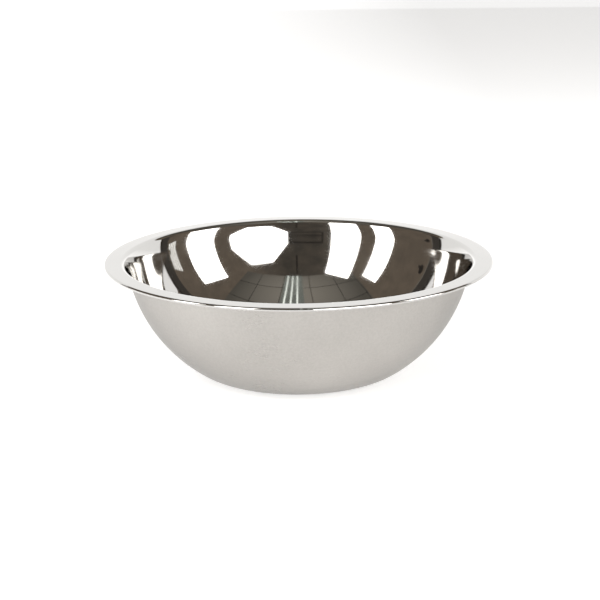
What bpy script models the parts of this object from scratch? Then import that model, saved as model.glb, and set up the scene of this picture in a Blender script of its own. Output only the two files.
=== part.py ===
"""A pressed stainless steel mixing bowl: one disc of sheet, drawn, flanged and curled.

The bowl is a single piece of metal. Its section is the middle line of the sheet, which runs
from the centre of the base, up the wall, over the lip and round the curled bead. The line
is turned about Z and then given the sheet's thickness. Units are metres, +Z is up, and the
origin is the centre of the flat base, on the surface that the bowl stands on.
"""

from math import atan2, cos, pi, radians, sin, sqrt, tan

import bpy

# Driving dimensions.
SHEET = 0.0006  # 24 gauge stainless steel
RIM_DIAMETER = 0.3366  # over the bead, 13 1/4 in
HEIGHT = 0.1016  # floor to the top of the lip, 4 in
BASE_DIAMETER = 0.1572  # where the outer face of the wall's arc would meet the floor
WALL_RADIUS = 0.1298  # the wall's arc in section, at the outer face
WALL_LEAN = radians(12.6)  # the wall's slope outwards from vertical, where it is steepest
BASE_CORNER_RADIUS = 0.0505  # the soft turn from the flat base into the wall, outer face
FLARE_RADIUS = 0.0496  # the gentle turn outwards below the lip, upper face
FLARE_LEAN = radians(26.3)  # the slope outwards from vertical, where the flare meets the bend
LIP_BEND_RADIUS = 0.0047  # the tight turn from the flare into the lip, upper face
LIP_DROOP = radians(0.5)  # the lip falls this much towards its edge
BEAD_DIAMETER = 0.0031  # the rolled edge, outside
BEAD_CURL = radians(288.0)  # out, under and back up, stopping short of the lip's underside

# How finely the round shapes are divided.
TURN_STEPS = 72
CORNER_STEPS = 5
WALL_STEPS = 8
FLARE_STEPS = 2
BEND_STEPS = 4
BEAD_STEPS = 9

HALF = SHEET / 2
WELD = 0.00005  # joins the turned faces at the axis and at the seam
STEEL_COLOUR = (0.72, 0.71, 0.69, 1.0)

# Radii of the sheet's middle line.
WALL = WALL_RADIUS - HALF
CORNER = BASE_CORNER_RADIUS - HALF
FLARE = FLARE_RADIUS - HALF
BEND = LIP_BEND_RADIUS - HALF
BEAD = BEAD_DIAMETER / 2 - HALF


def arc(centre, radius, start, end, steps):
    """Points on an arc of the section, from one angle to another, both ends included."""
    turn = (end - start) / steps
    angles = [start + turn * i for i in range(steps + 1)]
    return [(centre[0] + radius * cos(a), centre[1] + radius * sin(a)) for a in angles]


def section():
    """The sheet's middle line as (radius, height) points, from the axis to the free edge."""
    # Downwards from the lip's crest: the middle of its bend, of the flare, and of the wall.
    bend_height = HEIGHT - HALF - BEND
    flare_height = bend_height + (BEND - FLARE) * sin(FLARE_LEAN)
    wall_height = flare_height + (FLARE + WALL) * sin(WALL_LEAN)
    wall = (BASE_DIAMETER / 2 - sqrt(WALL_RADIUS**2 - wall_height**2), wall_height)

    # The corner's arc rests on the floor and touches the wall's arc from the inside.
    corner_height = HALF + CORNER
    reach = sqrt((WALL - CORNER) ** 2 - (wall_height - corner_height) ** 2)
    corner = (wall[0] + reach, corner_height)
    corner_end = atan2(corner_height - wall_height, reach)

    # The flare and the bend turn about middles that lie outside the wall and under the lip.
    flare = (wall[0] + (WALL + FLARE) * cos(WALL_LEAN), flare_height)
    bend = (flare[0] + (BEND - FLARE) * cos(FLARE_LEAN), bend_height)

    # The lip runs straight from the bend's crest and meets the bead's circle without a corner.
    bead_radius = RIM_DIAMETER / 2 - BEAD_DIAMETER / 2
    lip_end = bead_radius + BEAD * sin(LIP_DROOP)
    fall = (lip_end - bend[0]) * tan(LIP_DROOP)
    bead = (bead_radius, HEIGHT - HALF - fall - BEAD * cos(LIP_DROOP))
    bead_start = pi / 2 - LIP_DROOP

    points = [(0.0, HALF)]
    points += arc(corner, CORNER, -pi / 2, corner_end, CORNER_STEPS)
    points += arc(wall, WALL, corner_end, -WALL_LEAN, WALL_STEPS)[1:]
    points += arc(flare, FLARE, pi - WALL_LEAN, pi - FLARE_LEAN, FLARE_STEPS)[1:]
    points += arc(bend, BEND, pi - FLARE_LEAN, pi / 2, BEND_STEPS)[1:]
    points += arc(bead, BEAD, bead_start, bead_start - BEAD_CURL, BEAD_STEPS)
    return points


def steel():
    """Bright stainless steel."""
    material = bpy.data.materials.new("stainless_steel")
    material.use_nodes = True
    surface = material.node_tree.nodes["Principled BSDF"]
    surface.inputs["Base Color"].default_value = STEEL_COLOUR
    surface.inputs["Metallic"].default_value = 1.0
    surface.inputs["Roughness"].default_value = 0.15
    return material


def make_bowl(collection):
    """Turns the sheet's middle line once round and gives it thickness to both sides."""
    points = section()
    mesh = bpy.data.meshes.new("bowl")
    edges = [(i, i + 1) for i in range(len(points) - 1)]
    mesh.from_pydata([(x, 0.0, z) for x, z in points], edges, [])
    bowl = bpy.data.objects.new("bowl", mesh)
    collection.objects.link(bowl)

    turn = bowl.modifiers.new("turn", "SCREW")
    turn.angle = 2 * pi
    turn.screw_offset = 0.0
    turn.steps = TURN_STEPS
    turn.render_steps = TURN_STEPS
    turn.use_merge_vertices = True
    turn.merge_threshold = WELD
    turn.use_smooth_shade = True

    sheet = bowl.modifiers.new("sheet", "SOLIDIFY")
    sheet.thickness = SHEET
    sheet.offset = 0.0
    sheet.use_even_offset = True
    bowl.data.materials.append(steel())


def main():
    for old in list(bpy.data.objects):
        bpy.data.objects.remove(old)
    collection = bpy.data.collections.new("mixing_bowl")
    bpy.context.scene.collection.children.link(collection)
    make_bowl(collection)


main()
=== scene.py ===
# %% [markdown]
# # A pressed steel mixing bowl
#
# A mixing bowl like this starts as one flat disc of stainless steel. A press draws the disc
# down into a bowl, turns its edge outwards into a lip, and rolls the very edge into a bead.
# So there is one piece to model. All the work lies in its section, in the two finishes of
# the sheet, a mirror inside and a satin outside, and in a studio for the mirror to show.

# %% Load the measured bowl
from math import atan2, cos, hypot, pi, radians, sin, sqrt, tan

import bpy
from mathutils import Matrix, Vector, noise


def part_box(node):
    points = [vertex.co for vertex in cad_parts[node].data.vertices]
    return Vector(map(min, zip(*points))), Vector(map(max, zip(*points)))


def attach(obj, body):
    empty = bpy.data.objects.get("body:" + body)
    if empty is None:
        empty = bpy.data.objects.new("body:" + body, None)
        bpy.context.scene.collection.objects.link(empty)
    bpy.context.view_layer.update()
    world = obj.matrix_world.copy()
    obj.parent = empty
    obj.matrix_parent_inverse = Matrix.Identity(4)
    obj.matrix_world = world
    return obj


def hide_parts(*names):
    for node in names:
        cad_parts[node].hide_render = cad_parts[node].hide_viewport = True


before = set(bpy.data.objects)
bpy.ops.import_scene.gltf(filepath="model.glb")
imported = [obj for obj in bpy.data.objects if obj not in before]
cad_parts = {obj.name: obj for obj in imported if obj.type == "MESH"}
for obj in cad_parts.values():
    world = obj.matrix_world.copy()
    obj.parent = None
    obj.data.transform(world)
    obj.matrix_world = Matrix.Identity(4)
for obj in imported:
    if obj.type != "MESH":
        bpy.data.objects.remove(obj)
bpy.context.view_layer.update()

lowest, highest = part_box("bowl")
RIM_RADIUS = highest.x
HEIGHT = highest.z - lowest.z
print(f"rim {2000 * RIM_RADIUS:.1f} mm across, {1000 * HEIGHT:.1f} mm high")

# %% [markdown]
# ## The section of the sheet
#
# Cut through the bowl along its axis and the sheet shows as one long bent line. A spun
# or pressed shape is easiest to describe by that line: a flat base, a soft corner, a wall
# that is one big arc, a gentle flare, a tight bend, a nearly flat lip, and the curl of the
# bead. Each piece of the line touches the next without a corner, because steel sheet doesn't
# crease when it is drawn. The numbers below are the ones a die maker would ask for.

# %% The die maker's numbers, in metres
SHEET = 0.0006
BASE_DIAMETER = 0.1572
WALL_RADIUS = 0.1298
WALL_LEAN = radians(12.6)
BASE_CORNER_RADIUS = 0.0505
FLARE_RADIUS = 0.0496
FLARE_LEAN = radians(26.3)
LIP_BEND_RADIUS = 0.0047
LIP_DROOP = radians(0.5)
BEAD_DIAMETER = 0.0031
BEAD_CURL = radians(288.0)

HALF = SHEET / 2
WALL = WALL_RADIUS - HALF
CORNER = BASE_CORNER_RADIUS - HALF
FLARE = FLARE_RADIUS - HALF
BEND = LIP_BEND_RADIUS - HALF
BEAD = BEAD_DIAMETER / 2 - HALF


# %% How finely each stretch of the line is divided
BASE_RINGS = 8
CORNER_STEPS = 14
WALL_STEPS = 32
FLARE_STEPS = 6
BEND_STEPS = 14
LIP_RINGS = 4
BEAD_STEPS = 28


# %% Points along an arc
def arc(centre, radius, start, end, steps):
    """Points on an arc of the section, from one angle to another, without the first one."""
    turn = (end - start) / steps
    angles = [start + turn * i for i in range(1, steps + 1)]
    return [(centre[0] + radius * cos(a), centre[1] + radius * sin(a)) for a in angles]


# %% The middle line of the sheet, from the axis to the free edge
def sheet_line():
    """The whole line as (radius, height) points. It is worked out downwards from the lip."""
    bend_height = HEIGHT - HALF - BEND
    flare_height = bend_height + (BEND - FLARE) * sin(FLARE_LEAN)
    wall_height = flare_height + (FLARE + WALL) * sin(WALL_LEAN)
    wall = (BASE_DIAMETER / 2 - sqrt(WALL_RADIUS**2 - wall_height**2), wall_height)

    corner_height = HALF + CORNER
    reach = sqrt((WALL - CORNER) ** 2 - (wall_height - corner_height) ** 2)
    corner = (wall[0] + reach, corner_height)
    corner_end = atan2(corner_height - wall_height, reach)
    flare = (wall[0] + (WALL + FLARE) * cos(WALL_LEAN), flare_height)
    bend = (flare[0] + (BEND - FLARE) * cos(FLARE_LEAN), bend_height)

    bead_radius = RIM_RADIUS - BEAD - HALF
    lip_end = bead_radius + BEAD * sin(LIP_DROOP)
    fall = (lip_end - bend[0]) * tan(LIP_DROOP)
    bead = (bead_radius, HEIGHT - HALF - fall - BEAD * cos(LIP_DROOP))
    bead_start = pi / 2 - LIP_DROOP

    line = [(corner[0] * i / BASE_RINGS, HALF) for i in range(BASE_RINGS + 1)]
    line += arc(corner, CORNER, -pi / 2, corner_end, CORNER_STEPS)
    line += arc(wall, WALL, corner_end, -WALL_LEAN, WALL_STEPS)
    line += arc(flare, FLARE, pi - WALL_LEAN, pi - FLARE_LEAN, FLARE_STEPS)
    line += arc(bend, BEND, pi - FLARE_LEAN, bead_start, BEND_STEPS)
    crest = line[-1]
    edge = (lip_end, bead[1] + BEAD * cos(LIP_DROOP))
    for i in range(1, LIP_RINGS + 1):
        share = i / LIP_RINGS
        line.append(tuple(a + (b - a) * share for a, b in zip(crest, edge)))
    line += arc(bead, BEAD, bead_start, bead_start - BEAD_CURL, BEAD_STEPS)
    return line


line = sheet_line()
length = sum(hypot(b[0] - a[0], b[1] - a[1]) for a, b in zip(line, line[1:]))
print(f"{len(line)} points, {1000 * length:.1f} mm of sheet from the axis to its edge")

# %% [markdown]
# ## Turning the section
#
# The line could be turned by a Screw modifier, or built from a cylinder by scaling its
# loops one after another. Spin in edit mode is the closest to the lathe: one vertex is
# extruded along the line, and the finished line is spun once about the axis. The seam and
# the pole close when the doubles are merged, and only then are the normals made to agree.


# %% Extrude one vertex along the line
def extrude_line(name, points):
    bpy.ops.object.select_all(action="DESELECT")
    bpy.ops.mesh.primitive_plane_add(size=SHEET, location=(0, 0, 0))
    piece = bpy.context.object
    piece.name = piece.data.name = name
    bpy.ops.object.mode_set(mode="EDIT")
    bpy.ops.mesh.select_all(action="SELECT")
    bpy.ops.mesh.merge(type="CENTER")
    bpy.ops.transform.translate(value=(points[0][0], 0, points[0][1]))
    for (x0, z0), (x1, z1) in zip(points, points[1:]):
        step = {"value": (x1 - x0, 0, z1 - z0)}
        bpy.ops.mesh.extrude_region_move(TRANSFORM_OT_translate=step)
    bpy.ops.object.mode_set(mode="OBJECT")
    return piece


bowl = extrude_line("mixing_bowl", line)
print(f"{bowl.name}: {len(bowl.data.vertices)} vertices in a line")

# %% Spin it once round the axis
SEGMENTS = 288
MERGE = 0.00002


def spin_piece(piece, steps):
    bpy.ops.object.mode_set(mode="EDIT")
    bpy.ops.mesh.select_all(action="SELECT")
    bpy.ops.mesh.spin(steps=steps, angle=2 * pi, center=(0, 0, 0), axis=(0, 0, 1))
    bpy.ops.mesh.select_all(action="SELECT")
    bpy.ops.mesh.remove_doubles(threshold=MERGE)
    bpy.ops.mesh.normals_make_consistent(inside=False)
    bpy.ops.object.mode_set(mode="OBJECT")


spin_piece(bowl, SEGMENTS)
print(f"{len(bowl.data.polygons)} faces round the axis")

# %% The base has to face up, so that the inside of the bowl is the sheet's front
base_face = min(bowl.data.polygons, key=lambda f: hypot(f.center.x, f.center.y))
if base_face.normal.z < 0:
    bpy.ops.object.mode_set(mode="EDIT")
    bpy.ops.mesh.select_all(action="SELECT")
    bpy.ops.mesh.flip_normals()
    bpy.ops.object.mode_set(mode="OBJECT")
print(f"base normal {base_face.normal.z:+.2f}")

# %% [markdown]
# ## The waves that the press leaves
#
# Drawn sheet is never a perfect surface. A mirror shows waves of a few hundredths of a
# millimetre, as a wobble in every straight thing that it reflects. They could be a bump in
# the material, but a bump bends only the reflections near it and is lost in the mesh. Here
# each vertex of the wall moves a little along its normal, by a smooth noise. The waves fade
# out towards the base and the lip, which the die holds flat. This comes before the sheet
# gets its thickness, so that both faces carry the same waves.

# %% The size and the reach of the waves
WAVE_HEIGHT = 0.00005
WAVE_SCALE = 38  # noise cells in a metre
WAVE_FADE = 0.01
WAVY_FROM, WAVY_TO = 0.002, HEIGHT - 0.006
WALL_TOP_RADIUS = RIM_RADIUS - 0.012


# %% Move the wall by them
def press_waves(piece):
    for vertex in piece.data.vertices:
        place = vertex.co
        if WAVY_FROM < place.z < WAVY_TO and hypot(place.x, place.y) < WALL_TOP_RADIUS:
            fade = min(1, (place.z - WAVY_FROM) / WAVE_FADE, (WAVY_TO - place.z) / WAVE_FADE)
            height = WAVE_HEIGHT * fade * noise.noise(place * WAVE_SCALE)
            vertex.co = place + vertex.normal * height
    piece.data.update()


press_waves(bowl)
print(f"waves up to {1e6 * WAVE_HEIGHT:.0f} micrometres")

# %% [markdown]
# ## The thickness of the sheet
#
# The surface so far is the middle of the sheet. The Solidify modifier puts half of the
# thickness on each side and closes the free edge of the bead. It also gives the new outer
# face a material of its own. The mirror stays on the front of the sheet, which is the inside,
# the lip and the outside of the bead, and the satin goes on its back. The normals were made
# to agree and turned the right way first, because they decide which side is the front.

# %% Give the sheet its thickness
MIRROR_SIDE, SATIN_SIDE = 0, 1
SMOOTH_UP_TO = radians(40)
FINISH_NAMES = ("mirror_polished_steel", "satin_steel")
for finish in FINISH_NAMES:
    bowl.data.materials.append(bpy.data.materials.new(finish))
sheet = bowl.modifiers.new("sheet", "SOLIDIFY")
sheet.thickness = SHEET
sheet.offset = 0.0
sheet.use_even_offset = True
sheet.material_offset = SATIN_SIDE
bpy.ops.object.modifier_apply(modifier=sheet.name)
bpy.ops.object.shade_smooth_by_angle(angle=SMOOTH_UP_TO)
for side, finish in ((MIRROR_SIDE, "mirror"), (SATIN_SIDE, "satin")):
    print(f"{sum(f.material_index == side for f in bowl.data.polygons)} {finish} faces")

# %% [markdown]
# ## The bowl in the measured model
#
# The measured model has one node for the bowl, on the one body that nothing moves. The new
# mesh rides on that body, stands in for that node, and is made of that node's steel.

# %% The bowl stands for the measured one
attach(bowl, "root")
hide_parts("bowl")
print(f"{bowl.name}: {len(bowl.data.polygons)} faces stand for the measured bowl")

# %% [markdown]
# ## The two finishes
#
# The inside of the bowl, the top of the lip and the bead are polished like a mirror. The
# outside keeps the satin face that the sheet had when it left the mill. Bare metal has no
# colour of its own below the shine, so both are fully metallic, in the slightly warm grey of
# chromium steel. What tells them apart is roughness, and the fine work on the surface:
# polishing rings, hairline scratches and pits.
#
# The rings run round the bowl, so they need the distance from the axis and the height, and
# not x and y. A few nodes turn Object coordinates into those.


# %% Helpers for materials
def new_material(name):
    """The material of that name, made if the bowl hasn't got it yet, with its node tree."""
    material = bpy.data.materials.get(name) or bpy.data.materials.new(name)
    material.use_nodes = True
    return material, material.node_tree.nodes, material.node_tree.links


def noise_texture(nodes, links, vector, scale, detail=2.0, roughness=0.5):
    texture = nodes.new("ShaderNodeTexNoise")
    texture.inputs["Scale"].default_value = scale
    texture.inputs["Detail"].default_value = detail
    texture.inputs["Roughness"].default_value = roughness
    links.new(vector, texture.inputs["Vector"])
    return texture.outputs["Fac"]


def spread(nodes, links, value, low, high, to_low, to_high):
    """A value moved from one range to another, and held inside it."""
    node = nodes.new("ShaderNodeMapRange")
    node.inputs["From Min"].default_value = low
    node.inputs["From Max"].default_value = high
    node.inputs["To Min"].default_value = to_low
    node.inputs["To Max"].default_value = to_high
    links.new(value, node.inputs["Value"])
    return node.outputs["Result"]


def calculate(nodes, links, operation, first, second):
    node = nodes.new("ShaderNodeMath")
    node.operation = operation
    for socket, value in zip(node.inputs, (first, second)):
        if isinstance(value, (int, float)):
            socket.default_value = value
        else:
            links.new(value, socket)
    return node.outputs["Value"]


def bump(nodes, links, height, distance, strength, under=None):
    node = nodes.new("ShaderNodeBump")
    node.inputs["Distance"].default_value = distance
    node.inputs["Strength"].default_value = strength
    links.new(height, node.inputs["Height"])
    if under is not None:
        links.new(under, node.inputs["Normal"])
    return node.outputs["Normal"]


def mix_colours(nodes, links, share, first, second):
    node = nodes.new("ShaderNodeMix")
    node.data_type = "RGBA"
    links.new(share, node.inputs["Factor"])
    node.inputs["A"].default_value = (*first, 1)
    node.inputs["B"].default_value = (*second, 1)
    return node.outputs["Result"]


def round_coordinates(nodes, links, along, across):
    """Coordinates for marks that run round the axis: few along the turn, many across it."""
    place = nodes.new("ShaderNodeTexCoord").outputs["Object"]
    split = nodes.new("ShaderNodeSeparateXYZ")
    links.new(place, split.inputs["Vector"])
    flat = nodes.new("ShaderNodeCombineXYZ")
    links.new(split.outputs["X"], flat.inputs["X"])
    links.new(split.outputs["Y"], flat.inputs["Y"])
    length = nodes.new("ShaderNodeVectorMath")
    length.operation = "LENGTH"
    links.new(flat.outputs["Vector"], length.inputs[0])
    unit = nodes.new("ShaderNodeVectorMath")
    unit.operation = "NORMALIZE"
    links.new(flat.outputs["Vector"], unit.inputs[0])
    turned = nodes.new("ShaderNodeVectorMath")
    turned.operation = "SCALE"
    links.new(unit.outputs["Vector"], turned.inputs[0])
    turned.inputs["Scale"].default_value = along
    reach = calculate(nodes, links, "ADD", length.outputs["Value"], split.outputs["Z"])
    reach = calculate(nodes, links, "MULTIPLY", reach, across)
    lift = nodes.new("ShaderNodeCombineXYZ")
    links.new(reach, lift.inputs["Z"])
    both = nodes.new("ShaderNodeVectorMath")
    both.operation = "ADD"
    links.new(turned.outputs["Vector"], both.inputs[0])
    links.new(lift.outputs["Vector"], both.inputs[1])
    return place, both.outputs["Vector"]


# %% [markdown]
# ### The mirror
#
# A polished bowl is turned against a felt wheel, so its finest marks are rings round the
# axis. Stretched noise makes them: a few cells along the turn and hundreds across it. The
# rings tilt the surface by a hair and make it a little rougher, which frays the edges of
# what it reflects. Wider, softer noise stands for the smudges of handling.

# %% Mirror polish
MIRROR_COLOURS = (0.585, 0.575, 0.56), (0.615, 0.605, 0.59)
SMUDGE_ROUGHNESS = 0.035, 0.075
RING_ROUGHNESS = 0.0, 0.03
RING_DEPTH = 0.000003


def make_mirror():
    material, nodes, links = new_material("mirror_polished_steel")
    surface = nodes["Principled BSDF"]
    surface.inputs["Metallic"].default_value = 1.0
    place, round_it = round_coordinates(nodes, links, along=6, across=520)
    smudges = noise_texture(nodes, links, place, 28, detail=4)
    rings = noise_texture(nodes, links, round_it, 1, detail=3, roughness=0.65)

    tone = mix_colours(nodes, links, smudges, *MIRROR_COLOURS)
    links.new(tone, surface.inputs["Base Color"])
    haze = spread(nodes, links, smudges, 0.45, 0.75, *SMUDGE_ROUGHNESS)
    lines = spread(nodes, links, rings, 0.35, 0.75, *RING_ROUGHNESS)
    roughness = calculate(nodes, links, "ADD", haze, lines)
    links.new(roughness, surface.inputs["Roughness"])
    polish = bump(nodes, links, rings, RING_DEPTH, 0.8)
    links.new(polish, surface.inputs["Normal"])
    return material


print(f"{make_mirror().name}: mirror with polishing rings")

# %% [markdown]
# ### The satin
#
# Rolled sheet comes from the mill with a dull, even face: a very fine grain, broad cloudy
# patches, and some brushing from the turning. The cloudy patches in the colour are partly
# random tone and partly painted soft highlights, standing in for the bright zones of the soft
# boxes. The grain is mostly in the colour, because bumps this small would only sparkle. The
# edge tint makes the metal darker where the wall turns away from the eye. Those places would
# otherwise be the brightest ones.

# %% Satin mill finish
SATIN_COLOURS = (0.435, 0.418, 0.398), (0.525, 0.506, 0.482)
SATIN_EDGE = (0.68, 0.68, 0.68, 1)
CLOUD_ROUGHNESS = 0.27, 0.37
BRUSHING_ROUGHNESS = -0.03, 0.03
GRAIN_DEPTH = 0.000004
BRUSHING_DEPTH = 0.000005


def make_satin():
    material, nodes, links = new_material("satin_steel")
    surface = nodes["Principled BSDF"]
    surface.inputs["Metallic"].default_value = 1.0
    place, round_it = round_coordinates(nodes, links, along=9, across=380)
    clouds = noise_texture(nodes, links, place, 13, detail=2)
    grain = noise_texture(nodes, links, place, 520, detail=3, roughness=0.7)
    brushing = noise_texture(nodes, links, round_it, 1, detail=2)

    # The cloudy patches in the colour are partly random tone and partly painted soft highlights.
    patches = spread(nodes, links, clouds, 0.3, 0.7, 0.0, 0.7)
    specks = spread(nodes, links, grain, 0.3, 0.7, -0.15, 0.45)
    patches = calculate(nodes, links, "ADD", patches, specks)
    tone = mix_colours(nodes, links, patches, *SATIN_COLOURS)
    links.new(tone, surface.inputs["Base Color"])
    soft = spread(nodes, links, clouds, 0.3, 0.7, *CLOUD_ROUGHNESS)
    fine = spread(nodes, links, brushing, 0.3, 0.7, *BRUSHING_ROUGHNESS)
    roughness = calculate(nodes, links, "ADD", soft, fine)
    links.new(roughness, surface.inputs["Roughness"])
    surface.inputs["Specular Tint"].default_value = SATIN_EDGE
    texture = bump(nodes, links, grain, GRAIN_DEPTH, 0.5)
    texture = bump(nodes, links, brushing, BRUSHING_DEPTH, 0.5, under=texture)
    links.new(texture, surface.inputs["Normal"])
    return material


print(f"{make_satin().name}: satin with grain and brushing")

# %% [markdown]
# ## The studio
#
# A mirror has no look of its own: it shows the room. So a whole studio is built round the
# bowl, a small dim room with a tiled ceiling, a light fitting above the camera, white soft
# boxes round the camera, and a white sheet behind the bowl, which the lip reflects. Only
# the pale floor is seen directly. Everything else is hidden from the camera's own rays and
# casts no shadow, so that any view has a plain pale background. A card is placed by the
# azimuths and distances of its two feet, since that is how a mirror bowl shows it: azimuth
# is the place round the bowl where it appears, and height is how far down the wall.

# %% Helpers for the studio
def glow(name, colour, strength, lights=True):
    """A surface that gives light. A dim one isn't a lamp: it is there for the reflections."""
    material, nodes, links = new_material(name)
    nodes.remove(nodes["Principled BSDF"])
    emission = nodes.new("ShaderNodeEmission")
    emission.inputs["Color"].default_value = (*colour, 1)
    emission.inputs["Strength"].default_value = strength
    links.new(emission.outputs["Emission"], nodes["Material Output"].inputs["Surface"])
    material.cycles.emission_sampling = "FRONT_BACK" if lights else "NONE"
    return material, nodes, links, emission


def hide_in_studio(thing, name, material):
    thing.name = thing.data.name = name
    thing.data.materials.append(material)
    thing.visible_camera = False
    thing.visible_shadow = False


def around(azimuth, distance, height=0.0):
    """A place in the studio. Azimuth 0 is the camera's side, in degrees, and grows towards +X."""
    turn = radians(azimuth)
    return Vector((distance * sin(turn), -distance * cos(turn), height))


def stand_card(name, material, left, right, bottom, top, sides=4):
    """An upright card between two feet, each given by its azimuth and distance."""
    start, end = around(*left), around(*right)
    width = (end - start).length
    bpy.ops.object.select_all(action="DESELECT")
    corner_reach = 0.5 / cos(pi / sides)
    bpy.ops.mesh.primitive_circle_add(vertices=sides, radius=corner_reach, fill_type="NGON")
    card = bpy.context.object
    card.rotation_euler.z = pi / sides
    bpy.ops.object.transform_apply(location=False, rotation=True, scale=False)
    card.scale = (width, top - bottom, 1)
    card.rotation_euler = (pi / 2, 0, atan2(end.y - start.y, end.x - start.x))
    card.location = (start + end) / 2 + Vector((0, 0, (bottom + top) / 2))
    hide_in_studio(card, name, material)
    return card


# %% [markdown]
# ### The soft boxes
#
# Four white boxes stand in a half circle round the camera, one of them with eight sides.
# They are the bright shapes in the mirror, and they light the floor and the bowl. Each is
# one filled circle of four or eight corners, stood upright.

# %% Soft boxes
SOFTBOX_GLOW = 5.0
white_cloth = glow("soft_box_cloth", (1.0, 0.985, 0.96), SOFTBOX_GLOW)[0]
stand_card("octagonal_soft_box", white_cloth, (7.8, 2.05), (51.5, 2.25), -0.63, 1.45, sides=8)
stand_card("left_strip_box", white_cloth, (64.3, 2.15), (87.6, 2.55), 0.3, 1.70)
stand_card("right_strip_box", white_cloth, (-47.0, 2.1), (-24.9, 2.15), 0.3, 2.13)
stand_card("far_right_strip_box", white_cloth, (-74.0, 2.1), (-58.8, 2.15), 0.3, 1.78)
print("four soft boxes round the camera")

# %% [markdown]
# ### The sheet behind the bowl
#
# The lip is nearly flat, so it reflects what stands low behind the bowl. A white sheet there
# turns the whole lip pale, and also fills the two ends of the inside.

# %% White sheet behind the bowl
def make_sheet_glow():
    """White cloth that is brighter towards the floor, as if it were lit from below."""
    material, nodes, links, emission = glow("white_sheet", (1.0, 0.995, 0.985), 1.0)
    split = nodes.new("ShaderNodeSeparateXYZ")
    geometry = nodes.new("ShaderNodeNewGeometry")
    links.new(geometry.outputs["Position"], split.inputs["Vector"])
    strength = spread(nodes, links, split.outputs["Z"], 0.12, 0.36, 1.5, 1.17)
    links.new(strength, emission.inputs["Strength"])
    return material


stand_card("backdrop_sheet", make_sheet_glow(), (-120, 2.4), (114, 2.6), 0.0, 1.1)

# %% [markdown]
# ### The room
#
# The dark parts of the mirror are the room itself: brown-grey walls and a ceiling of square
# tiles. Real walls would need lamps of their own, and many samples to be clean. Surfaces
# that glow faintly give the same picture at once, and are too dim to count as lamps.

# %% The dim room and its ceiling
ROOM_HALF_WIDTH, ROOM_BACK, ROOM_FRONT, CEILING = 3.0, -3.0, 3.2, 3.3
TILE, TILE_GAP = 1.2, 0.016
LAMP_ON_CEILING = (0.1, -1.6, CEILING)
DARK_WALL, LIGHT_WALL = (0.068, 0.06, 0.05), (0.175, 0.14, 0.108)


def make_walls():
    """A cube without its top and bottom. The walls are lighter to the sides of the room."""
    material, nodes, links, emission = glow("dim_wall", (1, 1, 1), 1.0, lights=False)
    place = nodes.new("ShaderNodeTexCoord").outputs["Object"]
    split = nodes.new("ShaderNodeSeparateXYZ")
    links.new(place, split.inputs["Vector"])
    aside = calculate(nodes, links, "ABSOLUTE", split.outputs["X"], 0)
    aside = spread(nodes, links, aside, 0.6, ROOM_HALF_WIDTH, 0.0, 0.75)
    patches = noise_texture(nodes, links, place, 2.2, detail=3)
    patches = spread(nodes, links, patches, 0.3, 0.7, -0.1, 0.25)
    share = calculate(nodes, links, "ADD", aside, patches)
    tone = mix_colours(nodes, links, share, DARK_WALL, LIGHT_WALL)
    links.new(tone, emission.inputs["Color"])
    bpy.ops.object.select_all(action="DESELECT")
    middle = (0, (ROOM_BACK + ROOM_FRONT) / 2, CEILING / 2)
    bpy.ops.mesh.primitive_cube_add(size=1, location=middle)
    walls = bpy.context.object
    bpy.ops.object.mode_set(mode="EDIT")
    bpy.ops.mesh.select_mode(type="FACE")
    bpy.ops.mesh.select_all(action="DESELECT")
    bpy.ops.object.mode_set(mode="OBJECT")
    for face in walls.data.polygons:
        face.select = abs(face.normal.z) > 0.5
    bpy.ops.object.mode_set(mode="EDIT")
    bpy.ops.mesh.delete(type="FACE")
    bpy.ops.object.mode_set(mode="OBJECT")
    walls.scale = (2 * ROOM_HALF_WIDTH, ROOM_FRONT - ROOM_BACK, CEILING)
    bpy.ops.object.transform_apply(location=True, rotation=False, scale=True)
    hide_in_studio(walls, "room_walls", material)
    return walls


def make_ceiling():
    """Tiles with dark joints between them, brighter near the light fitting."""
    material, nodes, links, emission = glow("ceiling_tiles", (1, 1, 1), 1.0, lights=False)
    place = nodes.new("ShaderNodeTexCoord").outputs["Object"]
    grid = nodes.new("ShaderNodeMapping")
    grid.inputs["Location"].default_value = (0.5 + TILE, 2.04 + TILE, 0)
    links.new(place, grid.inputs["Vector"])
    tiles = nodes.new("ShaderNodeTexBrick")
    tiles.offset = 0
    links.new(grid.outputs["Vector"], tiles.inputs["Vector"])
    tiles.inputs["Scale"].default_value = 1
    tiles.inputs["Mortar Size"].default_value = TILE_GAP
    tiles.inputs["Brick Width"].default_value = TILE
    tiles.inputs["Row Height"].default_value = TILE
    tiles.inputs["Color1"].default_value = (0.30, 0.275, 0.235, 1)
    tiles.inputs["Color2"].default_value = (0.25, 0.23, 0.195, 1)
    tiles.inputs["Mortar"].default_value = (0.05, 0.045, 0.04, 1)
    links.new(tiles.outputs["Color"], emission.inputs["Color"])
    away = nodes.new("ShaderNodeVectorMath")
    away.operation = "DISTANCE"
    links.new(place, away.inputs[0])
    away.inputs[1].default_value = LAMP_ON_CEILING
    falloff = spread(nodes, links, away.outputs["Value"], 0.6, 2.8, 1.0, 0.4)
    links.new(falloff, emission.inputs["Strength"])
    bpy.ops.object.select_all(action="DESELECT")
    bpy.ops.mesh.primitive_plane_add(size=7, location=(0, 0, CEILING))
    ceiling = bpy.context.object
    bpy.ops.object.transform_apply(location=True, rotation=False, scale=True)
    hide_in_studio(ceiling, "ceiling", material)


print(f"{len(make_walls().data.polygons)} walls round the room")
make_ceiling()
print(f"a ceiling of {TILE} m tiles")

# %% [markdown]
# ### The light fitting
#
# An office fitting hangs in the ceiling above the camera: a grey tray with three tubes,
# seen as the stripes at the foot of the mirror.

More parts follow.
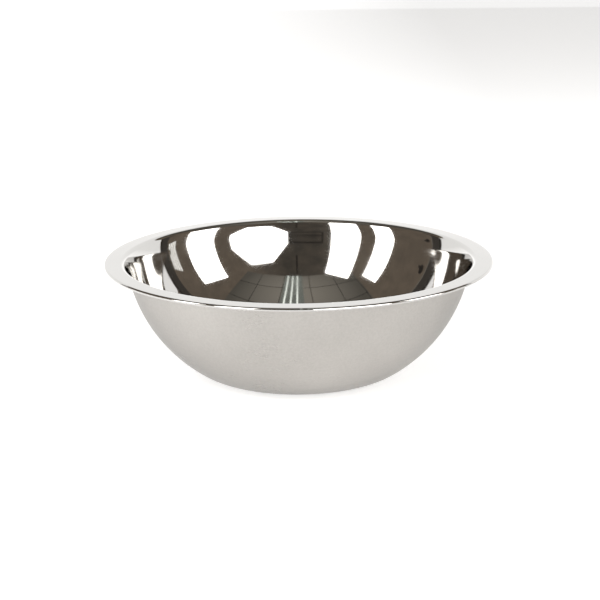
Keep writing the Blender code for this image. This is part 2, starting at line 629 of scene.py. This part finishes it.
# %% The light fitting
FITTING_WIDTH, FITTING_LENGTH = 0.84, 2.1
FITTING_CENTRE = Vector((0.24, -1.95, CEILING - 0.02))
TUBES_ACROSS = (-0.175, 0.05, 0.275)
TUBE_RADIUS, TUBE_LENGTH, TUBE_DROP = 0.028, 0.96 * FITTING_LENGTH, 0.03


def make_fitting():
    tray = glow("fitting_tray", (0.21, 0.225, 0.2), 1.0, lights=False)[0]
    tube = glow("fitting_tube", (0.95, 1.0, 0.93), 1.6, lights=False)[0]
    bpy.ops.object.select_all(action="DESELECT")
    bpy.ops.mesh.primitive_plane_add(size=1, location=FITTING_CENTRE)
    bpy.context.object.scale = (FITTING_WIDTH, FITTING_LENGTH, 1)
    hide_in_studio(bpy.context.object, "light_fitting", tray)
    for i, across in enumerate(TUBES_ACROSS):
        place = FITTING_CENTRE + Vector((across, 0, -TUBE_DROP))
        bpy.ops.mesh.primitive_cylinder_add(
            radius=TUBE_RADIUS, depth=TUBE_LENGTH, location=place, rotation=(pi / 2, 0, 0)
        )
        hide_in_studio(bpy.context.object, f"fitting_tube_{i + 1}", tube)


make_fitting()
print(f"one light fitting with {len(TUBES_ACROSS)} tubes")

# %% [markdown]
# ### Small things that the mirror picks up
#
# A mirror that shows only clean shapes looks false. Thin posts beside the sheet, curtains,
# the clamp of a lamp stand, the gap of a door and a blind are each made of one card or a few.
# The gap of the door is a dark card of painted shade where the opening lies in shadow.
# The picture frame has a hole in it, so it is a plane of its own.

# %% Small things
dark_paint_and_gap_shade = glow("dark_paint_and_gap_shade", (0.03, 0.026, 0.023), 1.0, lights=False)[0]
dark_cloth = glow("dark_cloth", (0.062, 0.055, 0.048), 1.0, lights=False)[0]
pale_edge = glow("pale_edge", (0.22, 0.2, 0.17), 1.0, lights=False)[0]
pale_slat = glow("pale_slat", (1.5, 1.48, 1.42), 1.0, lights=False)[0]
stand_card("left_sheet_post", dark_paint_and_gap_shade, (112.2, 2.45), (113.6, 2.45), 0.0, 1.6)
stand_card("right_sheet_post", dark_paint_and_gap_shade, (-119.8, 2.3), (-117.6, 2.3), 0.0, 1.6)
stand_card("right_curtain", dark_cloth, (-118.0, 2.4), (-110.0, 2.4), 0.0, 1.9)
stand_card("right_curtain_edge", pale_edge, (-110.0, 2.4), (-109.3, 2.4), 0.0, 1.9)
stand_card("left_curtain", dark_cloth, (106.0, 2.5), (112.4, 2.5), 0.0, 1.9)
stand_card("lamp_clamp", dark_paint_and_gap_shade, (-107.0, 2.4), (-103.2, 2.4), 0.62, 0.84, sides=6)
stand_card("clamp_handle", dark_paint_and_gap_shade, (-103.6, 2.4), (-101.6, 2.4), 0.68, 0.74)
# The door gap is painted shade: a dark card where the opening lies in shadow.
stand_card("door_gap", dark_paint_and_gap_shade, (0.7, 2.9), (2.1, 2.9), 1.75, 3.0)
for i in range(4):
    start, end = 98.6 + 1.7 * i, 99.8 + 1.7 * i
    bottom, top = 0.2 + 0.04 * i, 0.8 - 0.05 * i
    stand_card(f"blind_slat_{i + 1}", pale_slat, (start, 2.3), (end, 2.3), bottom, top)
print("posts, curtains, a clamp, a door gap and a blind")


# %% The picture frame
FRAME_FEET = (-18.6, 2.2), (8.2, 2.2)
FRAME_TALL, FRAME_EDGE, FRAME_MIDDLE = 0.26, 0.055, 0.74


def make_picture_frame():
    """An empty frame that hangs behind the camera: a plane, inset, with its middle removed."""
    start, end = (around(*foot) for foot in FRAME_FEET)
    bpy.ops.object.select_all(action="DESELECT")
    bpy.ops.mesh.primitive_plane_add(size=1)
    picture = bpy.context.object
    picture.scale = ((start - end).length, FRAME_TALL, 1)
    bpy.ops.object.transform_apply(location=False, rotation=False, scale=True)
    bpy.ops.object.mode_set(mode="EDIT")
    bpy.ops.mesh.select_all(action="SELECT")
    bpy.ops.mesh.inset(thickness=FRAME_EDGE)
    bpy.ops.mesh.delete(type="FACE")
    bpy.ops.object.mode_set(mode="OBJECT")
    picture.rotation_euler = (pi / 2, 0, atan2(end.y - start.y, end.x - start.x))
    picture.location = (start + end) / 2 + Vector((0, 0, FRAME_MIDDLE))
    hide_in_studio(picture, "picture_frame", dark_paint_and_gap_shade)


make_picture_frame()
print(f"a picture frame {FRAME_TALL} m tall")

# %% [markdown]
# ## The floor and its light
#
# The bowl stands on plain white paper that is lit from below as well as from above, as on a
# light table. The glow from below keeps the shadow at the foot of the bowl faint, and the
# satin outside shows little else than this floor. The paper glows more on one side than on
# the other, so the outside of the bowl shades off towards its other side.

# %% Floor
FLOOR_SIZE = 16
PAPER_COLOURS = (0.61, 0.61, 0.61), (0.65, 0.65, 0.65)
GLOW_ACROSS = 0.35
GLOW_FROM_BELOW = 0.74, 0.38

bpy.ops.object.select_all(action="DESELECT")
bpy.ops.mesh.primitive_plane_add(size=FLOOR_SIZE, location=(0, 0, 0))
floor = bpy.context.object
floor.name = floor.data.name = "floor"
print(f"a floor {FLOOR_SIZE} m wide")


# %% White paper that glows
def make_floor_paper():
    material, nodes, links = new_material("pale_paper")
    surface = nodes["Principled BSDF"]
    surface.inputs["Roughness"].default_value = 0.9
    surface.inputs["Specular IOR Level"].default_value = 0.0
    place = nodes.new("ShaderNodeTexCoord").outputs["Object"]
    fibres = noise_texture(nodes, links, place, 40, detail=5)
    paper = mix_colours(nodes, links, fibres, *PAPER_COLOURS)
    links.new(paper, surface.inputs["Base Color"])
    split = nodes.new("ShaderNodeSeparateXYZ")
    links.new(place, split.inputs["Vector"])
    below = spread(nodes, links, split.outputs["X"], -GLOW_ACROSS, GLOW_ACROSS, *GLOW_FROM_BELOW)
    links.new(below, surface.inputs["Emission Strength"])
    surface.inputs["Emission Color"].default_value = (1, 1, 1, 1)
    material.cycles.emission_sampling = "NONE"
    return material


floor.data.materials.append(make_floor_paper())
print(f"{floor.data.materials[0].name}: paper with a glow from below")

# %% A very wide light from above, which the mirror doesn't show
sky_data = bpy.data.lights.new("soft_top_light", "SUN")
sky_data.energy = 2.8
sky_data.angle = radians(120)
sky = bpy.data.objects.new("soft_top_light", sky_data)
bpy.context.scene.collection.objects.link(sky)
sky.visible_glossy = False
print(f"{sky.name}: strength {sky_data.energy}")

# %% Around everything: white for the camera, dim for the mirror
DIM_ROOM, WHITE = (0.1, 0.09, 0.08), (1.0, 1.0, 1.0)

world = bpy.data.worlds.new("studio")
bpy.context.scene.world = world
world.use_nodes = True
nodes, links = world.node_tree.nodes, world.node_tree.links
ray = nodes.new("ShaderNodeLightPath")
pale = mix_colours(nodes, links, ray.outputs["Is Camera Ray"], DIM_ROOM, WHITE)
links.new(pale, nodes["Background"].inputs["Color"])
bpy.context.scene.view_settings.view_transform = "Standard"
print("a white background, with plain colours")

# %% [markdown]
# ## The camera
#
# The eye is nine rim radii from the middle of the rim, a little above it, so the rim is a
# flat ellipse and the far wall of the inside shows. Three small turns from there put the
# bowl in its place in the frame: a little up, a hair to the side, and a slight roll.

# %% Camera
EYE_DISTANCE = 9 * RIM_RADIUS
EYE_ELEVATION = radians(13.66)
AIM_BELOW = radians(1.410)
AIM_RIGHT = radians(0.038)
ROLL = radians(0.56)
LENS, SENSOR_WIDTH = 104.54, 36

camera_data = bpy.data.cameras.new("camera")
camera_data.lens = LENS
camera_data.sensor_width = SENSOR_WIDTH
camera_data.sensor_fit = "HORIZONTAL"
camera = bpy.data.objects.new("camera", camera_data)
bpy.context.scene.collection.objects.link(camera)
rim_centre = Vector((0, 0, HEIGHT))
towards_eye = Vector((0, -cos(EYE_ELEVATION), sin(EYE_ELEVATION)))
camera.location = rim_centre + EYE_DISTANCE * towards_eye
tilt = Matrix.Rotation(pi / 2 - EYE_ELEVATION - AIM_BELOW, 4, "X")
look = Matrix.Rotation(-AIM_RIGHT, 4, "Z") @ tilt @ Matrix.Rotation(-ROLL, 4, "Z")
camera.rotation_euler = look.to_euler()
bpy.context.scene.camera = camera
print(f"camera {1000 * EYE_DISTANCE:.0f} mm from the middle of the rim")

# %% Bring the scene up to date
bpy.context.view_layer.update()
